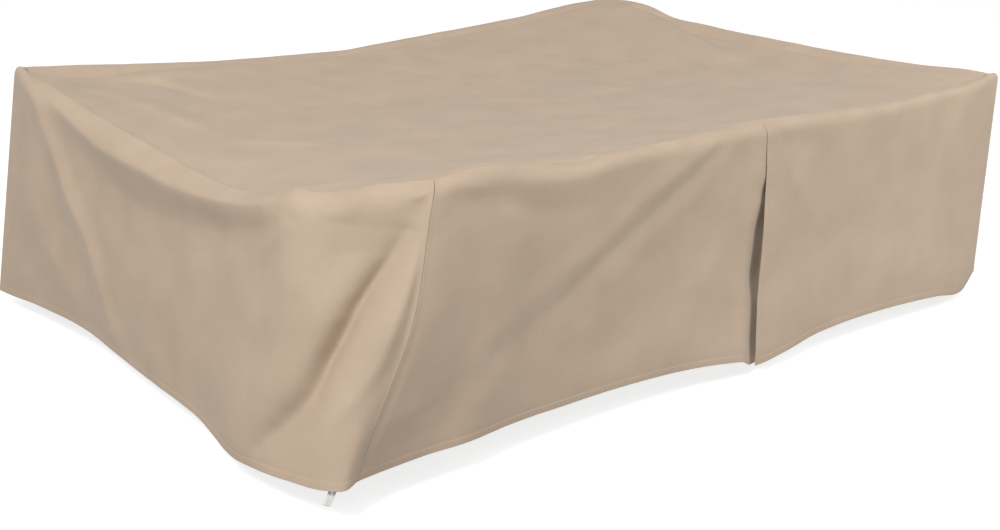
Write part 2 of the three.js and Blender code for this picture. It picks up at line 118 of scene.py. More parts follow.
# Steps of the mesh, closer together in the near and left skirts, and its places near an edge
STEP = 10
NEAR_STEP = 7
EDGE_PLACES = (0, 0.7, 1.6, 3, 5, 8, 12, 17, 19.2, 20.8, 24, 31)

# Sections across the skirts, which go round the cover anticlockwise seen from above. at is the
# distance along the sewn edge. seam, knee and hem are places of the outer face: the sewn edge, the
# corner that the shoulder rounds off, and the lower edge.
Side = namedtuple("Side", "shoulder sag sections")
Section = namedtuple("Section", "at seam knee hem")
FRONT = Side(38, 4, (
    Section(0, (-1132, -958, 107), (-1146, -982, 96), (-1424, -1024, -576)),
    Section(86, (-1046, -955, 113), (-1048, -990, 107), (-1326, -994, -586)),
    Section(180, (-952, -955, 113), (-952, -993, 98), (-1208, -992, -586)),
    Section(290, (-842, -955, 97), (-842, -993, 80), (-1078, -1006, -586)),
    Section(420, (-712, -955, 76), (-712, -993, 66), (-920, -988, -590)),
    Section(511, (-621, -955, 68), (-621, -993, 66), (-810, -982, -593)),
    Section(570, (-562, -955, 75), (-562, -993, 72), (-738, -982, -595)),
    Section(771, (-361, -955, 78), (-361, -993, 76), (-498, -990, -597)),
    Section(963, (-169, -955, 79), (-169, -993, 74), (-266, -1007, -606)),
    Section(1144, (12, -955, 84), (10, -993, 80), (-48, -1050, -622)),
    Section(1205, (73, -955, 85), (72, -995, 80), (22, -1046, -652)),
    Section(1300, (168, -955, 80), (168, -994, 74), (140, -1056, -638)),
    Section(1532, (400, -955, 68), (400, -993, 64), (350, -1046, -620)),
    Section(1811, (679, -955, 53), (679, -993, 56), (640, -1056, -616)),
    Section(2124, (992, -955, 55), (992, -993, 62), (950, -1068, -632)),
    Section(2308, (1176, -955, 58), (1180, -993, 70), (1120, -1062, -655)),
    Section(2432, (1300, -955, 68), (1356, -988, 92), (1244, -1038, -612)),
))
RIGHT = Side(55, 55, (
    Section(0, (1300, -955, 68), (1356, -988, 92), (1244, -1038, -612)),
    Section(100, (1300, -855, 71), (1358, -880, 96), (1262, -930, -606)),
    Section(330, (1300, -625, 60), (1360, -630, 92), (1290, -680, -612)),
    Section(549, (1300, -406, 53), (1360, -410, 93), (1312, -430, -616)),
    Section(784, (1300, -171, 58), (1360, -173, 102), (1330, -180, -620)),
    Section(1061, (1300, 106, 65), (1360, 106, 115), (1345, 110, -618)),
    Section(1319, (1300, 364, 72), (1360, 364, 131), (1362, 385, -612)),
    Section(1500, (1300, 545, 96), (1360, 548, 143), (1375, 590, -606)),
    Section(1640, (1300, 685, 140), (1360, 690, 174), (1384, 750, -602)),
    Section(1780, (1300, 825, 158), (1360, 840, 179), (1394, 910, -600)),
    Section(1880, (1290, 925, 156), (1347, 984, 167), (1405, 1050, -604)),
))
BACK = Side(55, 74, (
    Section(0, (1290, 925, 156), (1347, 984, 167), (1405, 1050, -604)),
    Section(140, (1150, 925, 142), (1155, 990, 169), (1230, 1066, -600)),
    Section(415, (875, 925, 112), (875, 992, 143), (930, 1070, -598)),
    Section(749, (541, 925, 88), (541, 992, 120), (580, 1066, -602)),
    Section(1061, (229, 925, 74), (229, 992, 105), (240, 1074, -606)),
    Section(1354, (-64, 925, 62), (-64, 992, 91), (-60, 1064, -604)),
    Section(1540, (-250, 925, 66), (-250, 992, 94), (-250, 1068, -600)),
    Section(1846, (-556, 925, 82), (-556, 992, 104), (-570, 1076, -604)),
    Section(2127, (-837, 925, 94), (-837, 992, 125), (-870, 1070, -606)),
    Section(2316, (-1026, 925, 98), (-1026, 992, 142), (-1090, 1076, -612)),
    Section(2443, (-1153, 925, 98), (-1153, 992, 155), (-1240, 1082, -618)),
    Section(2630, (-1340, 925, 136), (-1366, 974, 172), (-1468, 1078, -628)),
))
LEFT = Side(50, 90, (
    Section(0, (-1340, 925, 136), (-1366, 974, 172), (-1468, 1078, -628)),
    Section(80, (-1350, 850, 130), (-1392, 870, 150), (-1462, 980, -625)),
    Section(200, (-1352, 727, 119), (-1408, 735, 112), (-1450, 800, -612)),
    Section(490, (-1352, 438, 80), (-1410, 440, 62), (-1436, 482, -606)),
    Section(880, (-1352, 46, 40), (-1410, 40, 14), (-1464, 20, -614)),
    Section(1230, (-1352, -305, 9), (-1412, -312, -12), (-1482, -330, -620)),
    Section(1434, (-1352, -509, 20), (-1412, -525, 2), (-1526, -590, -619)),
    Section(1560, (-1351, -635, 53), (-1400, -658, 40), (-1534, -735, -614)),
    Section(1616, (-1344, -689, 70), (-1388, -716, 58), (-1534, -808, -606)),
    Section(1661, (-1322, -726, 62), (-1368, -762, 50), (-1525, -880, -598)),
    Section(1722, (-1282, -773, 65), (-1326, -806, 50), (-1516, -950, -590)),
    Section(1815, (-1228, -848, 88), (-1264, -878, 68), (-1502, -1010, -580)),
    Section(1885, (-1183, -902, 98), (-1208, -926, 82), (-1474, -1040, -578)),
    Section(1961, (-1132, -958, 107), (-1146, -982, 96), (-1424, -1024, -576)),
))

# Folds are ridges, where lift is above 0, and troughs along a few points. left and right are their
# widths on either hand, looking along them, and sharp is 2 for a round fold and nearer 1 for a
# crease. On a skirt a point is the distance along it, the share of the drop and the lift. On the
# top it is the place in plan and the lift.
Fold = namedtuple("Fold", "left right sharp points")
FRONT_FOLDS = (
    Fold(30, 30, 1.8, (
        (58, 0.05, 4), (93, 0.08, 6), (151, 0.11, 6), (221, 0.19, 5), (314, 0.22, 2),
    )),
    Fold(50, 50, 1.8, ((93, 0.11, -5), (198, 0.14, -12), (337, 0.19, -10), (524, 0.22, -2))),
    Fold(40, 45, 1.8, (
        (1082, 0.03, 3), (884, 0.14, 7), (710, 0.25, 5), (593, 0.38, 4), (419, 0.49, 3),
        (303, 0.6, 2), (163, 0.75, 1),
    )),
    Fold(32, 42, 1.8, (
        (1012, 0.1, -4), (768, 0.32, -4), (605, 0.46, -4), (500, 0.56, -3), (326, 0.68, -2),
    )),
    Fold(50, 50, 1.8, (
        (1152, 0.03, 3), (1001, 0.17, 4), (908, 0.27, 5), (745, 0.41, 3), (512, 0.63, -1),
        (279, 0.76, -2),
    )),
    Fold(42, 42, 1.8, ((1245, 0.05, -4), (1315, 0.14, -7), (1466, 0.16, -2), (1676, 0.19, 0))),
    Fold(36, 36, 1.8, ((1222, 0.06, 3), (1292, 0.21, 6), (1373, 0.35, 5), (1408, 0.46, 2))),
    Fold(140, 110, 2, ((1489, 0.54, 0), (1920, 0.84, 7), (2164, 0.94, 10))),
    Fold(60, 60, 1.8, ((2374, 0.08, 5), (2269, 0.16, 6), (2188, 0.29, 3), (2106, 0.41, 0))),
    Fold(75, 120, 2, (
        (70, 0.35, 3), (80, 0.5, 8), (90, 0.65, 15), (100, 0.8, 19), (115, 0.92, 12),
    )),
    Fold(140, 180, 2, ((733, 0.76, -1), (989, 0.67, -2), (1129, 0.75, -12))),
    Fold(95, 95, 2, ((943, 0.54, -5), (791, 0.73, -7), (559, 0.89, -1))),
)
LEFT_FOLDS = (
    Fold(50, 40, 1.8, (
        (106, 0.04, 5), (180, 0.1, 12), (266, 0.21, 17), (366, 0.34, 20), (432, 0.45, 20),
        (521, 0.54, 19), (587, 0.65, 16), (698, 0.9, 9),
    )),
    Fold(45, 60, 1.3, (
        (120, 0.02, 3), (343, 0.09, 9), (632, 0.13, 12), (864, 0.12, 12), (1064, 0.11, 13),
        (1208, 0.09, 17), (1352, 0.07, 20), (1500, 0.06, 17), (1570, 0.05, 5),
    )),
    Fold(200, 90, 1.8, (
        (150, 0.05, -4), (230, 0.1, -13), (379, 0.16, -18), (516, 0.24, -20), (643, 0.29, -21),
        (797, 0.31, -22), (1006, 0.3, -23), (1235, 0.25, -25), (1436, 0.21, -24),
        (1500, 0.19, -21), (1590, 0.17, -6),
    )),
    Fold(32, 30, 1.8, ((1614, 0.14, 0), (1606, 0.16, 4), (1529, 0.24, 7), (1440, 0.33, 2))),
    Fold(135, 70, 2, (
        (1717, 0.44, 8), (1662, 0.54, 8), (1606, 0.68, 11), (1540, 0.82, 16), (1490, 0.93, 16),
    )),
    Fold(22, 26, 1.8, (
        (1905, 0.19, -7), (1875, 0.28, -19), (1835, 0.36, -26), (1795, 0.44, -29),
        (1765, 0.52, -30), (1730, 0.6, -29), (1690, 0.71, -26), (1630, 0.83, -17),
        (1570, 0.92, -7),
    )),
    Fold(50, 50, 2.3, (
        (1900, 0.2, -8), (1845, 0.33, -20), (1795, 0.46, -26), (1750, 0.6, -22),
        (1700, 0.72, -16), (1630, 0.85, -6),
    )),
    Fold(45, 34, 1.7, (
        (1939, 0.13, 0), (1939, 0.24, 15), (1925, 0.34, 25), (1906, 0.42, 30), (1895, 0.5, 27),
        (1883, 0.59, 19), (1855, 0.69, 11), (1805, 0.78, 6), (1750, 0.88, 3),
    )),
    Fold(60, 150, 1.8, (
        (1790, 0.04, 2), (1785, 0.1, -10), (1780, 0.16, -22), (1780, 0.25, -28), (1780, 0.36, -18),
        (1785, 0.46, -4),
    )),
    Fold(60, 60, 2, ((155, 0.51, 4), (222, 0.63, 6), (321, 0.75, 6), (443, 0.87, 5))),
    Fold(14, 14, 1.8, ((1905, 0.08, 2), (1925, 0.068, 9), (1940, 0.062, 9))),
)
TOP_FOLDS = (
    Fold(190, 55, 1.8, (
        (960, -250, 0), (1044, -84, 8), (1075, 46, 17), (1110, 149, 25), (1150, 260, 33),
        (1190, 361, 39), (1240, 480, 39), (1280, 600, 30), (1300, 700, 14),
    )),
    Fold(230, 230, 2, ((-500, 330, -8), (0, 270, -15), (600, 350, -8))),
    Fold(60, 60, 2, ((-1250, 880, 6), (-950, 860, 9), (-700, 870, 4))),
    Fold(28, 45, 1.6, (
        (-1120, 862, -3), (-1064, 846, -9), (-973, 804, -11), (-922, 740, -9),
        (-891, 615, -6), (-870, 480, 0),
    )),
    Fold(75, 40, 1.7, (
        (-1220, 760, 0), (-1127, 510, 8), (-1116, 312, 10), (-1076, 19, 8),
        (-900, -150, 5), (-700, -450, 0),
    )),
    Fold(60, 60, 2, ((-1046, -915, 5), (-850, -885, 17), (-700, -890, 18), (-600, -925, 6))),
    Fold(26, 60, 1.7, ((-120, 330, 0), (-40, 180, 5), (60, 60, 6), (120, -120, 0))),
    Fold(22, 50, 1.7, ((150, 60, 0), (260, -20, 5), (420, -70, 6), (560, -160, 0))),
    Fold(20, 40, 1.7, ((560, 330, 0), (650, 250, 5), (780, 190, 5), (880, 150, 0))),
)
FOLD_FADE = 34

# Soft unevenness of the cloth: size of a swell, its height, and where its pattern starts. Swells die
# out near seams. Puckers are drawn out across seams and hems. A shift sets the panels' patterns apart.
Swell = namedtuple("Swell", "size height start")
SWELLS = (Swell(260, 3.2, 3.1), Swell(110, 1.1, 17.7), Swell(45, 0.35, 41.3))
SWELL_CALM = 30
SWELL_SHIFT = 1000
PUCKER = Swell(24, 0.45, 77.9)
PUCKER_REACH = 16
PUCKER_STRETCH = 0.3
PUCKER_SHIFT = 100

# A share of the drop just below the rim, and a distance past any gap
RIM_DOWN = 0.03
FAR = 1e4


# Rules that the tables feed


def smooth(low, high, value):
    """A share that rises softly from 0 at low to 1 at high."""
    t = np.clip((value - low) / (high - low), 0, 1)
    return t * t * (3 - 2 * t)


def section_at(side, at):
    """The seam, knee and hem of a skirt at each distance along it."""
    places = np.array([row.at for row in side.sections], float)
    numbers = np.array([row.seam + row.knee + row.hem for row in side.sections], float)
    last = len(places) - 1
    slopes = np.empty_like(numbers)
    for k in range(last + 1):
        before, after = max(k - 1, 0), min(k + 1, last)
        slopes[k] = (numbers[after] - numbers[before]) / (places[after] - places[before])
    at = np.clip(at, places[0], places[last])
    i = np.clip(np.searchsorted(places, at, side="right") - 1, 0, last - 1)
    span = (places[i + 1] - places[i])[..., None]
    t = (at - places[i])[..., None] / span
    found = (
        (2 * t**3 - 3 * t**2 + 1) * numbers[i]
        + (t**3 - 2 * t**2 + t) * slopes[i] * span
        + (3 * t**2 - 2 * t**3) * numbers[i + 1]
        + (t**3 - t**2) * slopes[i + 1] * span
    )
    return found[..., 0:3], found[..., 3:6], found[..., 6:9]


def fold_lift(folds, x, y, scale_y):
    """The height that folds add at places whose units across and along differ by scale_y."""
    total = np.zeros_like(x)
    for fold in folds:
        nearest = np.full_like(x, np.inf)
        lift = np.zeros_like(x)
        for (ax, ay, start), (bx, by, end) in zip(fold.points, fold.points[1:]):
            run = np.array((bx - ax, (by - ay) * scale_y), float)
            off_x, off_y = x - ax, (y - ay) * scale_y
            t = np.clip((off_x * run[0] + off_y * run[1]) / (run @ run), 0, 1)
            distance = np.hypot(off_x - run[0] * t, off_y - run[1] * t)
            lean = (run[0] * off_y - run[1] * off_x) / (np.hypot(*run) * np.maximum(distance, 1e-6))
            on_left = (1 + np.clip(lean, -1, 1)) / 2
            ratio = distance / (fold.left**on_left * fold.right ** (1 - on_left))
            closer = ratio < nearest
            nearest = np.where(closer, ratio, nearest)
            lift = np.where(closer, start + (end - start) * t, lift)
        total += lift * np.exp(-(nearest**fold.sharp))
    return total


def plain_skirt(side, at, down):
    """A skirt's face before its folds: straight from seam to knee to hem, the knee rounded."""
    seam, knee, hem = section_at(side, at)
    over, fall = knee - seam, hem - knee
    over_length = np.linalg.norm(over, axis=-1)
    fall_length = np.linalg.norm(fall, axis=-1)
    over = over / over_length[..., None]
    fall = fall / fall_length[..., None]
    before = np.minimum(over_length, side.shoulder)
    after = side.shoulder
    gone = down * (over_length + fall_length)
    q = np.clip((gone - over_length + before) / (before + after), 0, 1)[..., None]
    start = knee - over * before[..., None]
    end = knee + fall * after
    bend = start * (1 - q) ** 2 + knee * 2 * q * (1 - q) + end * q**2
    flat = seam + over * gone[..., None]
    hanging = knee + fall * (gone - over_length)[..., None]
    point = np.where((gone < over_length - before)[..., None], flat, bend)
    return np.where((gone > over_length + after)[..., None], hanging, point)


def outward(side, at, down):
    """The level way out of a skirt."""
    step = 8
    run = plain_skirt(side, at + step, down) - plain_skirt(side, at - step, down)
    level = np.stack((run[..., 1], -run[..., 0], np.zeros_like(run[..., 0])), axis=-1)
    return level / np.linalg.norm(level, axis=-1)[..., None]


def side_length(side):
    return side.sections[-1].at


def table_at(rows, column, down):
    """The numbers of a table whose rows go down a skirt."""
    downs = [row.down for row in rows]
    values = np.array([getattr(row, column) for row in rows], float)
    i = np.clip(np.searchsorted(downs, down, side="left"), 1, len(rows) - 1)
    low, high = np.array(downs)[i - 1], np.array(downs)[i]
    return values[i - 1] + (values[i] - values[i - 1]) * smooth(low, high, down)


def bow_at(side, at, down):
    """How far the bow of the near left corner seam moves places of the two skirts beside it."""
    if side is FRONT:
        share = smooth(0, BOW_REACH_FRONT, at)
    elif side is LEFT:
        share = smooth(0, BOW_REACH_LEFT, side_length(side) - at)
    else:
        return np.zeros(at.shape)
    return table_at(BOW, "out", down) * (1 - share)


def skirt(side, folds, at, down):
    """A skirt's face with its folds, which die out towards its seams."""
    calm = (
        smooth(0, FOLD_FADE, at)
        * smooth(0, FOLD_FADE, side_length(side) - at)
        * smooth(0, FOLD_FADE, down * SKIRT_DROP)
    )
    lift = calm * fold_lift(folds, at, down, SKIRT_DROP)
    bowed = plain_skirt(side, at, down) + np.array(BOW_WAY) * bow_at(side, at, down)[..., None]
    return bowed + outward(side, at, down) * lift[..., None]


def front_left(at, down):
    """The near skirt left of the vent. Its edge draws back there, curls in and goes on as the
    underlap."""
    end = VENT_AT - SEAM_GAP
    drawn = at - table_at(VENT, "gap", down) * np.minimum(at / end, 1) ** VENT_GAP_POWER
    out = table_at(VENT, "lift", down) * smooth(end - VENT_LIFT_REACH, end, at)
    # The rise is halfway at the edge itself, so twice the curl brings it in by the curl.
    out -= 2 * table_at(VENT, "curl", down) * smooth(end - VENT_REACH, end + VENT_REACH, at)
    near_rim = np.exp(-down * SKIRT_DROP / UNDERLAP_EXTRA_REACH)
    setback = UNDERLAP_SETBACK * (1 + UNDERLAP_EXTRA * near_rim)
    out -= setback * smooth(end, end + UNDERLAP_STEP, at)
    point = skirt(FRONT, FRONT_FOLDS, drawn, down)
    return point + outward(FRONT, drawn, down) * out[..., None]


def front_right(at, down):
    """The near skirt right of the vent, whose edge stands proud."""
    proud = table_at(VENT, "proud", down) * (1 - smooth(VENT_AT, VENT_AT + VENT_LIFT_REACH, at))
    return skirt(FRONT, FRONT_FOLDS, at, down) + outward(FRONT, at, down) * proud[..., None]


def top(x, y):
    """The top between its four sewn edges, at shares of its length and width."""
    corners = [np.array(side.sections[0].seam, float) for side in (FRONT, RIGHT, BACK, LEFT)]
    near_left, near_right, far_right, far_left = corners

    def line(a, b, t):
        return a + (b - a) * t[..., None]

    flat = line(line(near_left, near_right, x), line(far_left, far_right, x), y)
    edges = (
        (FRONT, line(near_left, near_right, x), x, 1 - y, 4 * x * (1 - x), TOP_WIDTH),
        (BACK, line(far_left, far_right, x), 1 - x, y, 4 * x * (1 - x), TOP_WIDTH),
        (LEFT, line(near_left, far_left, y), 1 - y, 1 - x, 4 * y * (1 - y), TOP_LENGTH),
        (RIGHT, line(near_right, far_right, y), y, x, 4 * y * (1 - y), TOP_LENGTH),
    )
    point = flat.copy()
    height = flat[..., 2].copy()
    for side, straight, part, near, hump, size in edges:
        off = section_at(side, part * side_length(side))[0] - straight
        point += off * near[..., None]
        sag = -side.sag * hump
        fade = np.exp(-(((1 - near) * size / EDGE_REACH) ** EDGE_SHARP))
        height += near * sag + (off[..., 2] - sag) * fade
    inside = np.minimum(x, 1 - x) * TOP_LENGTH
    within = np.minimum(y, 1 - y) * TOP_WIDTH
    calm = smooth(0, FOLD_FADE, inside) * smooth(0, FOLD_FADE, within)
    point[..., 2] = height + calm * fold_lift(TOP_FOLDS, point[..., 0], point[..., 1], 1)
    return point


# Making the cloth


def edge_places(start, end, step):
    """Places across a cloth, close together at its two edges."""
    close = np.array(EDGE_PLACES)
    low, high = start + close, (end - close)[::-1]
    count = max(1, round((high[0] - low[-1]) / step))
    middle = np.linspace(low[-1], high[0], count + 1)[1:-1]
    return np.concatenate((low, middle, high))


def swell_height(swell, x, y):
    """The heights of one of the cloth's swells."""
    flat = [
        noise.noise(Vector((a / swell.size, b / swell.size, swell.start)))
        for a, b in zip(x.ravel(), y.ravel())
    ]
    return swell.height * np.array(flat).reshape(x.shape)


def face_normals(points):
    along = np.gradient(points, axis=1)
    up = np.gradient(points, axis=0)
    normal = np.cross(along, up)
    return normal / np.linalg.norm(normal, axis=-1)[..., None]


def unit(vectors):
    return vectors / np.maximum(np.linalg.norm(vectors, axis=-1), 1e-6)[..., None]


def roll_way(panel, edge, run, rise):
    """The way in which the cloth rolls under at one of its sewn edges, the same for both panels."""
    up = np.array((0.0, 0.0, 1.0))
    if edge == "cross":
        return np.broadcast_to(up, run.shape + (3,))
    if edge in SIDES:
        side = SIDES[edge]
        part = {"front": run, "right": rise, "back": TOP_LENGTH - run, "left": TOP_WIDTH - rise}[edge]
        whole = TOP_LENGTH if edge in ("front", "back") else TOP_WIDTH
        at = part / whole * side_length(side) if panel.rise else run
        return unit(outward(side, at, np.full(run.shape, RIM_DOWN)) + up)
    before, after = (SIDES[name] for name in CORNERS[edge])
    down = 1 - rise / SKIRT_DROP
    ends = np.full(run.shape, float(side_length(before)))
    return unit(outward(before, ends, down) + outward(after, np.zeros(run.shape), down))


def edge_gaps(run, rise):
    """The distances of each place from the four edges of its cut."""
    return {
        "start": run - run.min(),
        "end": run.max() - run,
        "low": rise - rise.min(),
        "high": rise.max() - rise,
    }


def roll_under(panel, run, rise):
    """How far each place rolls under towards the sewn edges."""
    gaps = edge_gaps(run, rise)
    way = np.zeros(run.shape + (3,))
    least = np.full(run.shape, FAR)
    for place, edge in panel.sewn.items():
        gap = gaps[place]
        way += roll_way(panel, edge, run, rise) * np.exp(-gap / ROLL_REACH)[..., None]
        least = np.minimum(least, gap)
    return unit(way) * (-SEAM_DEPTH * np.exp(-((least / SEAM_WIDTH) ** SEAM_SHARP)))[..., None]


def nearest_edge(gaps, places, run, rise):
    """Distance from the nearest of some edges, and the distance along it."""
    gap = np.full(run.shape, FAR)
    along = run.copy()
    for place in places:
        closer = gaps[place] < gap
        gap = np.where(closer, gaps[place], gap)
        along = np.where(closer, rise if place in ("start", "end") else run, along)
    return gap, along


def relief(run, rise, seam_gap, hem_gap, along, pattern):
    """Stitched seams and hems, puckers and the cloth's own unevenness, in millimetres."""
    height = HEM_PROUD * (1 - smooth(*(HEM_WIDTH + off for off in HEM_STEP), hem_gap))
    height -= STITCH_DENT * np.exp(-(((hem_gap - HEM_WIDTH) / STITCH_WIDTH) ** 2))
    height += SEAM_PROUD * (1 - smooth(*(SEAM_BAND + off for off in BAND_STEP), seam_gap))
    height -= STITCH_DENT * np.exp(-(((seam_gap - SEAM_STITCH) / STITCH_WIDTH) ** 2))
    least = np.minimum(seam_gap, hem_gap)
    pucker = swell_height(PUCKER, along + pattern * PUCKER_SHIFT, least * PUCKER_STRETCH)
    height += pucker * np.exp(-least / PUCKER_REACH) * smooth(0, ROLL_REACH, seam_gap)
    calm = smooth(0, SWELL_CALM, seam_gap)
    for swell in SWELLS:
        height += calm * swell_height(swell, run + pattern * SWELL_SHIFT, rise)
    return height


def grid_mesh(name, points, run, rise):
    """A mesh of a grid of points in millimetres, with its flat cut as UV map."""
    rows, columns = run.shape
    bm = bmesh.new()
    bmesh.ops.create_grid(bm, x_segments=columns - 1, y_segments=rows - 1, size=1)
    bm.verts.ensure_lookup_table()
    place = np.array([vert.co[:2] for vert in bm.verts])
    i = np.rint((place[:, 0] + 1) / 2 * (columns - 1)).astype(int)
    j = np.rint((place[:, 1] + 1) / 2 * (rows - 1)).astype(int)
    for vert, co in zip(bm.verts, points[j, i] * MM):
        vert.co = co
    uv = bm.loops.layers.uv.new("Cut")
    flat = np.stack((run[j, i], rise[j, i]), axis=-1) * MM
    for face in bm.faces:
        face.smooth = True
        for loop in face.loops:
            loop[uv].uv = flat[loop.vert.index]
    mesh = bpy.data.meshes.new(name)
    bm.to_mesh(mesh)
    bm.free()
    piece = bpy.data.objects.new(name, mesh)
    bpy.context.scene.collection.objects.link(piece)
    return piece


def thicken(piece, thickness, finishes):
    """Gives a piece its thickness, inwards, and its finishes: the outer one first."""
    for finish in finishes:
        piece.data.materials.append(finish)
    wall = piece.modifiers.new("cloth thickness", "SOLIDIFY")
    wall.thickness = thickness * MM
    wall.offset = -1
    wall.use_quality_normals = True
    wall.material_offset = len(finishes) - 1
    return piece


# The panels. across and rise are the reach of the flat cut, where a skirt's rise is the drop. sewn
# names the seam at each sewn edge, and hemmed the edges with hems. pattern tells its swells apart.
Panel = namedtuple("Panel", "name node face across rise sewn hemmed pattern step")
# The right end and the back have no folds.
SIDES = {"front": FRONT, "right": RIGHT, "back": BACK, "left": LEFT}
FOLDS = {"front": FRONT_FOLDS, "right": (), "back": (), "left": LEFT_FOLDS}
CORNERS = {
    "near_left": ("left", "front"),
    "near_right": ("front", "right"),
    "far_right": ("right", "back"),
    "far_left": ("back", "left"),
}
FRONT_END = side_length(FRONT)
CROSS_SEAM = VENT_AT / FRONT_END * TOP_LENGTH


def skirt_face(name):
    """The face of a whole side's skirt, at places of its flat cut."""
    return lambda run, rise: skirt(SIDES[name], FOLDS[name], run, 1 - rise / SKIRT_DROP)


def near_face(part):
    """The face of one part of the near skirt, at places of its flat cut."""
    return lambda run, rise: part(run, 1 - rise / SKIRT_DROP)


def top_face(run, rise):
    return top(run / TOP_LENGTH, rise / TOP_WIDTH)


PANELS = (
    Panel("top_left_cloth", "top_left", top_face, (0, CROSS_SEAM), TOP_WIDTH,
          {"start": "left", "end": "cross", "low": "front", "high": "back"}, (), 1, STEP),
    Panel("top_right_cloth", "top_right", top_face, (CROSS_SEAM, TOP_LENGTH), TOP_WIDTH,
          {"start": "cross", "end": "right", "low": "front", "high": "back"}, (), 1, STEP),
    Panel("front_left_cloth", "front_left", near_face(front_left), (0, VENT_AT + UNDERLAP), None,
          {"start": "near_left", "high": "front"}, ("low", "end"), 2, NEAR_STEP),
    Panel("front_right_cloth", "front_right", near_face(front_right), (VENT_AT, FRONT_END), None,
          {"end": "near_right", "high": "front"}, ("low", "start"), 2, NEAR_STEP),
    Panel("end_right_cloth", "end_right", skirt_face("right"), (0, side_length(RIGHT)), None,
          {"start": "near_right", "end": "far_right", "high": "right"}, ("low",), 3, STEP),
    Panel("back_cloth", "back", skirt_face("back"), (0, side_length(BACK)), None,
          {"start": "far_right", "end": "far_left", "high": "back"}, ("low",), 4, STEP),
    Panel("end_left_cloth", "end_left", skirt_face("left"), (0, side_length(LEFT)), None,
          {"start": "far_left", "end": "near_left", "high": "left"}, ("low",), 5, NEAR_STEP),
)


def make_panel(panel, outside, inside):
    """One sheet of cloth with its seams and its hem."""
    low, high = panel.across
    bottom = SEAM_GAP if panel.rise else 0
    above = (panel.rise or SKIRT_DROP) - SEAM_GAP
    run, rise = np.meshgrid(
        edge_places(low + SEAM_GAP, high - SEAM_GAP, panel.step),
        edge_places(bottom, above, panel.step),
    )
    points = panel.face(run, rise)
    gaps = edge_gaps(run, rise)
    seam_gap, seam_along = nearest_edge(gaps, panel.sewn, run, rise)
    hem_gap, hem_along = nearest_edge(gaps, panel.hemmed, run, rise)
    along = np.where(hem_gap < seam_gap, hem_along, seam_along)
    height = relief(run, rise, seam_gap, hem_gap, along, panel.pattern)
    points = points + face_normals(points) * height[..., None] + roll_under(panel, run, rise)
    piece = grid_mesh(panel.name, points, run, rise)
    thicken(piece, CLOTH, (outside, inside))
    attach(piece, "root")
    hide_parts(panel.node)
    return piece


# Bindings: tape along the inside of the seams, a depth below the outer faces and deeper in its
# middle, where it goes past the seam. reach is how far it goes on each panel. The tape round the rim
# goes straight across each corner, from a gap before it to a gap past it. The others stop a gap above
# the hem and a gap before the rim.
BINDING = namedtuple("Binding", "thickness depth middle step reach")(0.6, 2.8, 7.5, 12, 10)
TAPE_CORNER_GAP = 5
TAPE_HEM_GAP = 4
TAPE_RIM_GAP = 16


def inside_point(face, run, rise):
    """A place on the inner side of a panel, where its binding lies."""
    step = 2
    along = face(run + step, rise) - face(run - step, rise)
    up = face(run, rise + step) - face(run, rise - step)
    return face(run, rise) - unit(np.cross(along, up)) * BINDING.depth


def make_binding(name, columns, finish):
    """A tape through columns of points that go across it, from left to right or from low to high."""
    points = np.stack(columns, axis=0)
    rows = np.linspace(0, 2 * BINDING.reach, len(columns))
    step = np.linalg.norm(np.diff(points[2], axis=0), axis=-1)
    run, rise = np.meshgrid(np.concatenate(((0,), np.cumsum(step))), rows)
    piece = grid_mesh(name, points, run, rise)
    thicken(piece, BINDING.thickness, (finish,))
    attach(piece, "root")
    return piece


def rim_binding(finish):
    """The tape right round the top."""
    reach = BINDING.reach
    columns = [[], [], [], [], []]
    for name, side in SIDES.items():
        length = side_length(side)
        at = np.linspace(TAPE_CORNER_GAP, length - TAPE_CORNER_GAP, round(length / BINDING.step))
        hang = skirt_face(name)
        high = np.full(at.shape, float(SKIRT_DROP))
        columns[0].append(inside_point(hang, at, high - reach))
        columns[1].append(inside_point(hang, at, high - reach / 2))
        way = unit(outward(side, at, np.full(at.shape, RIM_DOWN)) + np.array((0, 0, 1)))
        columns[2].append(hang(at, high) - way * BINDING.middle)
        for column, gap in ((3, reach / 2), (4, reach)):
            columns[column].append(inside_point(top_face, *top_place(name, at, gap)))
    closed = [np.concatenate(parts + [parts[0][:1]]) for parts in columns]
    return make_binding("rim_binding", closed, finish)


def top_place(name, at, gap):
    """The place on the top's cut at a distance along one of its edges and a gap from it."""
    part = at / side_length(SIDES[name])
    near = np.full(at.shape, float(gap))
    return {
        "front": (part * TOP_LENGTH, near),
        "right": (TOP_LENGTH - near, part * TOP_WIDTH),
        "back": ((1 - part) * TOP_LENGTH, TOP_WIDTH - near),
        "left": (near, (1 - part) * TOP_WIDTH),
    }[name]


def corner_binding(corner, finish):
    """The tape down one of the corner seams."""
    left, right = (skirt_face(name) for name in CORNERS[corner])
    before, after = (SIDES[name] for name in CORNERS[corner])
    steps = round(SKIRT_DROP / BINDING.step)
    rise = np.linspace(TAPE_HEM_GAP, SKIRT_DROP - TAPE_RIM_GAP, steps)
    end = np.full(rise.shape, float(side_length(before)))
    start = np.zeros(rise.shape)
    down = 1 - rise / SKIRT_DROP
    way = unit(outward(before, end, down) + outward(after, start, down))
    reach = BINDING.reach
    across = [
        inside_point(left, end - reach, rise),
        inside_point(left, end - reach / 2, rise),
        right(start, rise) - way * BINDING.middle,
        inside_point(right, start + reach / 2, rise),
        inside_point(right, start + reach, rise),
    ]
    down_first = [column[::-1] for column in across]
    return make_binding(corner + "_binding", down_first, finish)


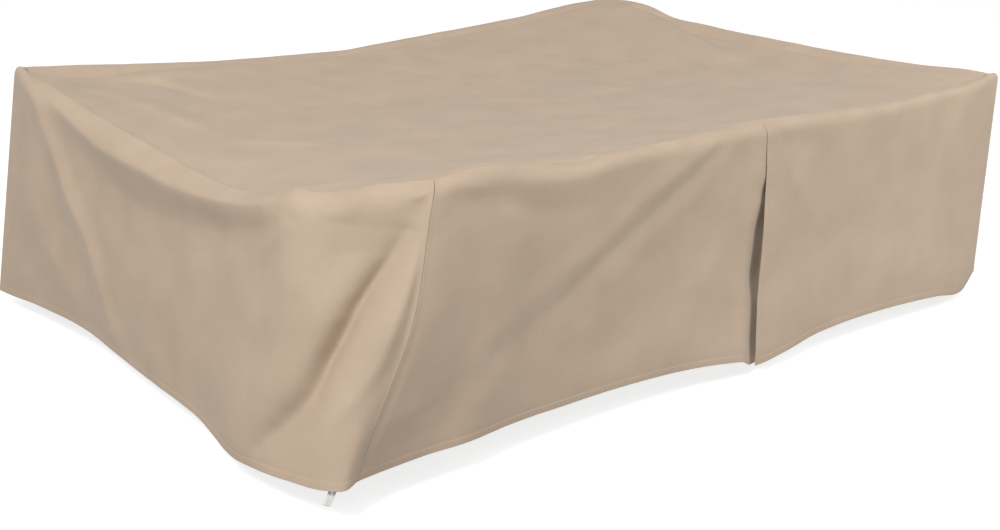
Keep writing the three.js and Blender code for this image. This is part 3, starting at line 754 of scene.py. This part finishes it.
def cross_binding(finish):
    """The tape under the seam across the top."""
    rise = np.linspace(TAPE_RIM_GAP, TOP_WIDTH - TAPE_RIM_GAP, round(TOP_WIDTH / BINDING.step))
    reach = BINDING.reach
    columns = []
    for gap in (reach, reach / 2, 0, -reach / 2, -reach):
        column = inside_point(top_face, np.full(rise.shape, CROSS_SEAM + gap), rise)
        column[:, 2] -= (BINDING.middle - BINDING.depth) * (gap == 0)
        columns.append(column)
    return make_binding("cross_binding", columns, finish)


# The tie: strands of webbing that start inside the skirt, at a share of its drop, pass behind the hem
# and fall below it to their free ends, leaning away. They are narrower than a cut may be stated, in
# metres, so their area says their true width.
WEBBING = namedtuple("Webbing", "width thickness steps")(9, 1.4, (6, 40))
Tie = namedtuple("Tie", "name node at start lean fall")
TIES = (
    Tie("tie_1_webbing", "tie_1", 1826, 0.93, (-16, 13), 42),
    Tie("tie_2_webbing", "tie_2", 1850, 0.93, (-19, 15), 43),
)
TIE_ROOT_DEPTH = 7
TIE_HEM_DEPTH = 11


def make_tie(tie, finish):
    """One strand, as a flat tape along a curve from its root past the hem to its tip."""
    at = np.array([float(tie.at)])
    side = outward(LEFT, at, np.array([1.0]))[0]
    across = np.cross((0, 0, 1), side)
    across /= np.linalg.norm(across)
    root = skirt(LEFT, LEFT_FOLDS, at, np.array([tie.start]))[0] - side * TIE_ROOT_DEPTH
    hem = skirt(LEFT, LEFT_FOLDS, at, np.array([1.0]))[0] - side * TIE_HEM_DEPTH
    tip = hem + np.array((tie.lean[0], tie.lean[1], -tie.fall))
    widths = np.linspace(-0.5, 0.5, WEBBING.steps[0] + 1) * WEBBING.width
    shares = np.linspace(0, 1, WEBBING.steps[1] + 1)
    run, up = np.meshgrid(widths, shares)
    t = (1 - up)[..., None]
    line = root * (1 - t) ** 2 + hem * 2 * t * (1 - t) + tip * t**2
    points = line + across * run[..., None]
    length = float(np.linalg.norm(np.diff(line[:, 0], axis=0), axis=-1).sum())
    piece = grid_mesh(tie.name, points, run, up * length)
    thicken(piece, WEBBING.thickness, (finish,))
    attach(piece, "root")
    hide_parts(tie.node)
    return piece


# Finishes. Slubs are thick places of a thread, and clouds are places where the dye took more or less.
# Their sizes are millimetres, written as a metre over how many fit in it. The threads' share and the
# clouds add up to a tone, which goes from dark to light.
SLUB_WIDTH = 1000 / 420
SLUB_LENGTH = 1000 / 16
CLOUD_SIZE = 1000 / 7
BUMP_HEIGHT = 0.4
BUMP_STRENGTH = 0.35
THREAD_SHARE = 0.25
TONE_DARK = 0.5
TONE_LIGHT = 1


def linear(hex_colour):
    """An sRGB hex value as the linear colour that the nodes take."""
    channels = [int(hex_colour[k : k + 2], 16) / 255 for k in (1, 3, 5)]
    return tuple(c / 12.92 if c <= 0.04045 else ((c + 0.055) / 1.055) ** 2.4 for c in channels) + (1,)


def add_node(tree, kind, settings=None, inputs=None, links=None):
    """One node with its settings, its input values and the sockets that feed it."""
    node = tree.nodes.new(kind)
    for key, value in (settings or {}).items():
        setattr(node, key, value)
    for key, value in (inputs or {}).items():
        node.inputs[key].default_value = value
    for key, socket in (links or {}).items():
        tree.links.new(socket, node.inputs[key])
    return node


def slubs(tree, cut, across, along):
    """Slubs of the threads that run one way, at sizes across and along the cut."""
    scale = (1 / (across * MM), 1 / (along * MM), 1)
    place = add_node(
        tree, "ShaderNodeMapping", inputs={"Scale": scale}, links={"Vector": cut.outputs["UV"]}
    )
    return add_node(
        tree,
        "ShaderNodeTexNoise",
        inputs={"Scale": 1, "Detail": 2},
        links={"Vector": place.outputs["Vector"]},
    )


def new_material(name):
    material = bpy.data.materials.new(name)
    material.use_nodes = True
    material.node_tree.nodes.clear()
    return material, material.node_tree


def woven_polyester(name, light, dark, roughness, sheen):
    """Piece-dyed polyester of a plain weave, matt, with slubs that run with its two threads and a soft
    clouding of its dye. Its threads are half a millimetre apart, too fine to show, so the slubs are
    drawn over 2 mm wide."""
    material, tree = new_material(name)
    cut = add_node(tree, "ShaderNodeUVMap", {"uv_map": "Cut"})
    warp = slubs(tree, cut, SLUB_WIDTH, SLUB_LENGTH)
    weft = slubs(tree, cut, SLUB_LENGTH, SLUB_WIDTH)
    threads = add_node(
        tree,
        "ShaderNodeMath",
        {"operation": "ADD"},
        links={0: warp.outputs["Fac"], 1: weft.outputs["Fac"]},
    )
    cloud = add_node(
        tree,
        "ShaderNodeTexNoise",
        inputs={"Scale": 1 / (CLOUD_SIZE * MM), "Detail": 6},
        links={"Vector": cut.outputs["UV"]},
    )
    tone = add_node(
        tree,
        "ShaderNodeMath",
        {"operation": "MULTIPLY_ADD"},
        inputs={1: THREAD_SHARE},
        links={0: threads.outputs["Value"], 2: cloud.outputs["Fac"]},
    )
    spread = add_node(
        tree,
        "ShaderNodeMapRange",
        inputs={"From Min": TONE_DARK, "From Max": TONE_LIGHT},
        links={"Value": tone.outputs["Value"]},
    )
    colour = add_node(
        tree,
        "ShaderNodeMix",
        {"data_type": "RGBA"},
        inputs={6: linear(dark), 7: linear(light)},
        links={0: spread.outputs["Result"]},
    )
    bump = add_node(
        tree,
        "ShaderNodeBump",
        inputs={"Strength": BUMP_STRENGTH, "Distance": BUMP_HEIGHT * MM},
        links={"Height": threads.outputs["Value"]},
    )
    shader = add_node(
        tree,
        "ShaderNodeBsdfPrincipled",
        inputs={
            "Roughness": roughness,
            "Sheen Weight": sheen,
            "Sheen Roughness": 0.35,
            "Specular IOR Level": 0.25,
        },
        links={"Base Color": colour.outputs[2], "Normal": bump.outputs["Normal"]},
    )
    add_node(tree, "ShaderNodeOutputMaterial", links={"Surface": shader.outputs["BSDF"]})
    return material


# Light, floor and camera, in metres. turn is a lamp's angle from the way back to the camera, seen
# from above, and light is what a white matt sheet in the middle that faces it would send back. The
# bounce is an area lamp that lies on the floor in front of the near skirt.
Lamp = namedtuple("Lamp", "name turn rise distance size light")
LAMPS = (
    Lamp("front_lamp", -20, 46, 12, 4, 0.8),
    Lamp("left_lamp", -75, 30, 6.5, 3, 0.06),
    Lamp("right_lamp", 75, 30, 5, 3, 0.34),
)
SKY_STRENGTH = 0.36
GROUND_STRENGTH = 0.5
HORIZON_BLEND = 0.15
BOUNCE_PLACE = (0.3, -1.65, -0.67)
BOUNCE_SIZE = (3.4, 1)
BOUNCE_LIGHT = 0.4
FLOOR_Z = -0.685
FLOOR_SIZE = 60
FLOOR_COLOUR = "#B0B0B0"
FLOOR_GLOW = 0.78
CAMERA_PLACE = (-3.109, -3.501, 0.928)
CAMERA_HEADING = 0.861
CAMERA_DIP = 0.312
CAMERA_LENS = 49.73
CAMERA_SENSOR = 36


def make_floor():
    """A pale floor that glows, so that it stays nearly white. It throws no light on the cover itself:
    the bounce stands in for that."""
    bm = bmesh.new()
    bmesh.ops.create_grid(bm, x_segments=1, y_segments=1, size=FLOOR_SIZE / 2)
    bmesh.ops.translate(bm, verts=bm.verts, vec=(0, 0, FLOOR_Z))
    mesh = bpy.data.meshes.new("studio_floor")
    bm.to_mesh(mesh)
    bm.free()
    floor = bpy.data.objects.new("studio_floor", mesh)
    bpy.context.scene.collection.objects.link(floor)
    material, tree = new_material("backlit white studio floor")
    shader = add_node(
        tree,
        "ShaderNodeBsdfPrincipled",
        inputs={
            "Base Color": linear(FLOOR_COLOUR),
            "Roughness": 1,
            "Specular IOR Level": 0,
            "Emission Color": (1, 1, 1, 1),
            "Emission Strength": FLOOR_GLOW,
        },
    )
    add_node(tree, "ShaderNodeOutputMaterial", links={"Surface": shader.outputs["BSDF"]})
    mesh.materials.append(material)
    floor.visible_diffuse = False
    floor.visible_glossy = False


def make_lamp(lamp):
    """A large soft lamp to one side of the cover."""
    turn = math.radians(lamp.turn) + CAMERA_HEADING + math.pi
    rise = math.radians(lamp.rise)
    way = Vector((math.cos(turn) * math.cos(rise), math.sin(turn) * math.cos(rise), math.sin(rise)))
    data = bpy.data.lights.new(lamp.name, "AREA")
    data.shape = "DISK"
    data.size = lamp.size
    data.energy = lamp.light * math.pi**2 * lamp.distance**2
    holder = bpy.data.objects.new(lamp.name, data)
    holder.location = way * lamp.distance
    holder.rotation_euler = way.to_track_quat("Z", "Y").to_euler()
    bpy.context.scene.collection.objects.link(holder)


def make_bounce():
    """Light that the pale floor throws up at the near skirt's lower part."""
    data = bpy.data.lights.new("floor_bounce", "AREA")
    data.shape = "RECTANGLE"
    data.size, data.size_y = BOUNCE_SIZE
    data.energy = BOUNCE_LIGHT * math.pi * data.size * data.size_y
    holder = bpy.data.objects.new("floor_bounce", data)
    holder.location = BOUNCE_PLACE
    holder.rotation_euler = (math.pi, 0, 0)
    holder.visible_camera = False
    bpy.context.scene.collection.objects.link(holder)


def make_surround():
    """Even white light from all round, brighter from below, as off a pale ground."""
    world = bpy.data.worlds.new("white studio")
    bpy.context.scene.world = world
    world.use_nodes = True
    tree = world.node_tree
    tree.nodes.clear()
    way = add_node(tree, "ShaderNodeTexCoord")
    axes = add_node(tree, "ShaderNodeSeparateXYZ", links={"Vector": way.outputs["Generated"]})
    strength = add_node(
        tree,
        "ShaderNodeMapRange",
        inputs={
            "From Min": -HORIZON_BLEND,
            "From Max": HORIZON_BLEND,
            "To Min": GROUND_STRENGTH,
            "To Max": SKY_STRENGTH,
        },
        links={"Value": axes.outputs["Z"]},
    )
    white = add_node(
        tree,
        "ShaderNodeBackground",
        inputs={"Color": (1, 1, 1, 1)},
        links={"Strength": strength.outputs["Result"]},
    )
    add_node(tree, "ShaderNodeOutputWorld", links={"Surface": white.outputs["Background"]})


def make_camera():
    """A camera at the photograph's viewing angle."""
    data = bpy.data.cameras.new("camera")
    data.lens = CAMERA_LENS
    data.sensor_width = CAMERA_SENSOR
    data.sensor_fit = "HORIZONTAL"
    camera = bpy.data.objects.new("camera", data)
    camera.location = CAMERA_PLACE
    camera.rotation_euler = (math.pi / 2 - CAMERA_DIP, 0, CAMERA_HEADING - math.pi / 2)
    bpy.context.scene.collection.objects.link(camera)
    bpy.context.scene.camera = camera


make_camera()
make_floor()
make_surround()
for lamp in LAMPS:
    make_lamp(lamp)
make_bounce()
bpy.context.scene.view_settings.view_transform = "Standard"

# Woven and dyed: matt and warm, with a faint bloom where the face turns away
outside = woven_polyester("matt woven polyester", "#BAA691", "#B09C88", 0.7, 0.2)
# Coated against rain on the back: greyer, a little smoother, without bloom
inside = woven_polyester("coated side of the polyester", "#A59F95", "#9A948A", 0.6, 0)
# Woven narrow and left without a finish: dull, and darker than the cloth
tape = woven_polyester("polyester binding tape", "#A8967F", "#9A8872", 0.85, 0)
# Woven of undyed yarn: nearly white and dull, with a little bloom
webbing = woven_polyester("polyester webbing", "#E6E6E2", "#D2D2CE", 0.8, 0.1)

bindings = [
    (rim_binding(tape), "top_left_cloth"),
    (cross_binding(tape), "top_left_cloth"),
    (corner_binding("near_left", tape), "end_left_cloth"),
    (corner_binding("near_right", tape), "end_right_cloth"),
    (corner_binding("far_right", tape), "end_right_cloth"),
    (corner_binding("far_left", tape), "end_left_cloth"),
]
for panel in PANELS:
    make_panel(panel, outside, inside)
for tie in TIES:
    make_tie(tie, webbing)
